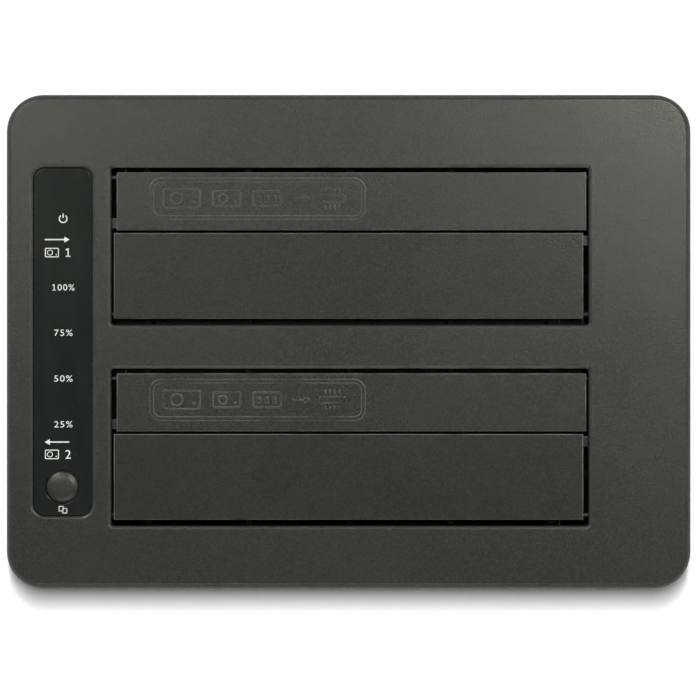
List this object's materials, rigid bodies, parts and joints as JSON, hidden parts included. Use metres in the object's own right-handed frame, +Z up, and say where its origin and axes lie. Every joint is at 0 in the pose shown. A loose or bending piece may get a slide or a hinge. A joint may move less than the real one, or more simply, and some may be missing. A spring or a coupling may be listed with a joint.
{
  "type": "drive duplicator",
  "caption": "Desktop dock that stands two bare drives upright behind sprung flaps and copies one to the other, with a light strip and a copy button.",
  "frame": {"origin": "on the table under the middle of the case, at the underside of the feet", "axes": "+X to the right along the long side, +Y to the back where the ports are, +Z up through the drive slots"},
  "size_m": [0.1528, 0.1104, 0.0627],
  "materials": {
    "case_plastic": "fine moulded grain, slightly warm dark grey",
    "flap_plastic": "fine moulded grain, slightly warm dark grey",
    "base_plastic": "fine moulded grain, dark grey",
    "well_plastic": "plain moulded black",
    "panel_gloss": "polished black strip",
    "button_plastic": "satin dark grey",
    "foot_rubber": "matt black rubber",
    "screw_steel": "zinc plated steel",
    "pin_steel": "ground bright steel",
    "spring_steel": "drawn spring wire",
    "board_laminate": "green solder mask on glass laminate",
    "chip_plastic": "moulded epoxy",
    "choke_ferrite": "pressed ferrite",
    "can_aluminium": "drawn can",
    "contact_gold": "gold flashed contact",
    "port_metal": "nickel plated sheet",
    "port_plastic": "moulded connector plastic",
    "tongue_plastic": "moulded blue connector plastic",
    "light_clear": "clear acrylic",
    "light_chip": "pale light chip",
    "header_plastic": "natural nylon",
    "cable_sheath": "grey flexible sheath",
    "rocker_plastic": "satin black"
  },
  "bodies": {
    "case": {"base_tray": "base_plastic", "bridge_chip": "chip_plastic", "cable_headers": "header_plastic", "case_screws": "screw_steel", "clock_crystal": "can_aluminium", "indicator_board": "board_laminate", "indicator_board_screws": "screw_steel", "indicator_cable": "cable_sheath", "indicator_lights": "light_chip", "indicator_panel": "panel_gloss", "light_pipes": "light_clear", "main_board": "board_laminate", "main_board_screws": "screw_steel", "memory_chips": "chip_plastic", "power_chokes": "choke_ferrite", "power_jack": "port_plastic", "power_jack_pin": "port_metal", "power_regulators": "chip_plastic", "power_switch_case": "port_plastic", "rubber_feet": "foot_rubber", "smoothing_capacitors": "can_aluminium", "source_drive_socket": "port_plastic", "source_drive_well": "well_plastic", "source_narrow_flap_spring": "spring_steel", "source_narrow_hinge_pin": "pin_steel", "source_socket_contacts": "contact_gold", "source_wide_flap_spring": "spring_steel", "source_wide_hinge_pin": "pin_steel", "tact_switch": "port_plastic", "target_drive_socket": "port_plastic", "target_drive_well": "well_plastic", "target_narrow_flap_spring": "spring_steel", "target_narrow_hinge_pin": "pin_steel", "target_socket_contacts": "contact_gold", "target_wide_flap_spring": "spring_steel", "target_wide_hinge_pin": "pin_steel", "top_cover": "case_plastic", "usb_socket_contacts": "contact_gold", "usb_socket_shell": "port_metal", "usb_socket_tongues": "tongue_plastic", "well_screws": "screw_steel"},
    "copy_button": {"copy_button": "button_plastic", "switch_plunger": "button_plastic"},
    "power_rocker": {"power_rocker": "rocker_plastic"},
    "source_narrow_flap": {"source_narrow_flap": "flap_plastic"},
    "source_wide_flap": {"source_wide_flap": "flap_plastic"},
    "target_narrow_flap": {"target_narrow_flap": "flap_plastic"},
    "target_wide_flap": {"target_wide_flap": "flap_plastic"}
  },
  "joints": [
    {"name": "source_narrow_flap_hinge", "type": "hinge", "parent": "case", "child": "source_narrow_flap", "pos_m": [0.0003, 0.03665, 0.0601], "axis": [1, 0, 0], "range_deg": [0, 90], "stiffness_Nm_per_rad": 0.002, "springref_deg": -57.3, "deforming": ["source_narrow_flap_spring"]},
    {"name": "source_wide_flap_hinge", "type": "hinge", "parent": "case", "child": "source_wide_flap", "pos_m": [0.0003, 0.00615, 0.0601], "axis": [-1, 0, 0], "range_deg": [0, 90], "stiffness_Nm_per_rad": 0.003, "springref_deg": -57.3, "deforming": ["source_wide_flap_spring"]},
    {"name": "target_narrow_flap_hinge", "type": "hinge", "parent": "case", "child": "target_narrow_flap", "pos_m": [0.0003, -0.00815, 0.0601], "axis": [1, 0, 0], "range_deg": [0, 90], "stiffness_Nm_per_rad": 0.002, "springref_deg": -57.3, "deforming": ["target_narrow_flap_spring"]},
    {"name": "target_wide_flap_hinge", "type": "hinge", "parent": "case", "child": "target_wide_flap", "pos_m": [0.0003, -0.03865, 0.0601], "axis": [-1, 0, 0], "range_deg": [0, 90], "stiffness_Nm_per_rad": 0.003, "springref_deg": -57.3, "deforming": ["target_wide_flap_spring"]},
    {"name": "copy_button_press", "type": "slide", "parent": "case", "child": "copy_button", "axis": [0, 0, -1], "range_m": [0, 0.0005], "stiffness_N_per_m": 800, "springref_m": -0.001},
    {"name": "power_rocker_tilt", "type": "hinge", "parent": "case", "child": "power_rocker", "pos_m": [0.0515, 0.0499, 0.0134], "axis": [0, 0, 1], "range_deg": [0, 20.8]}
  ]
}
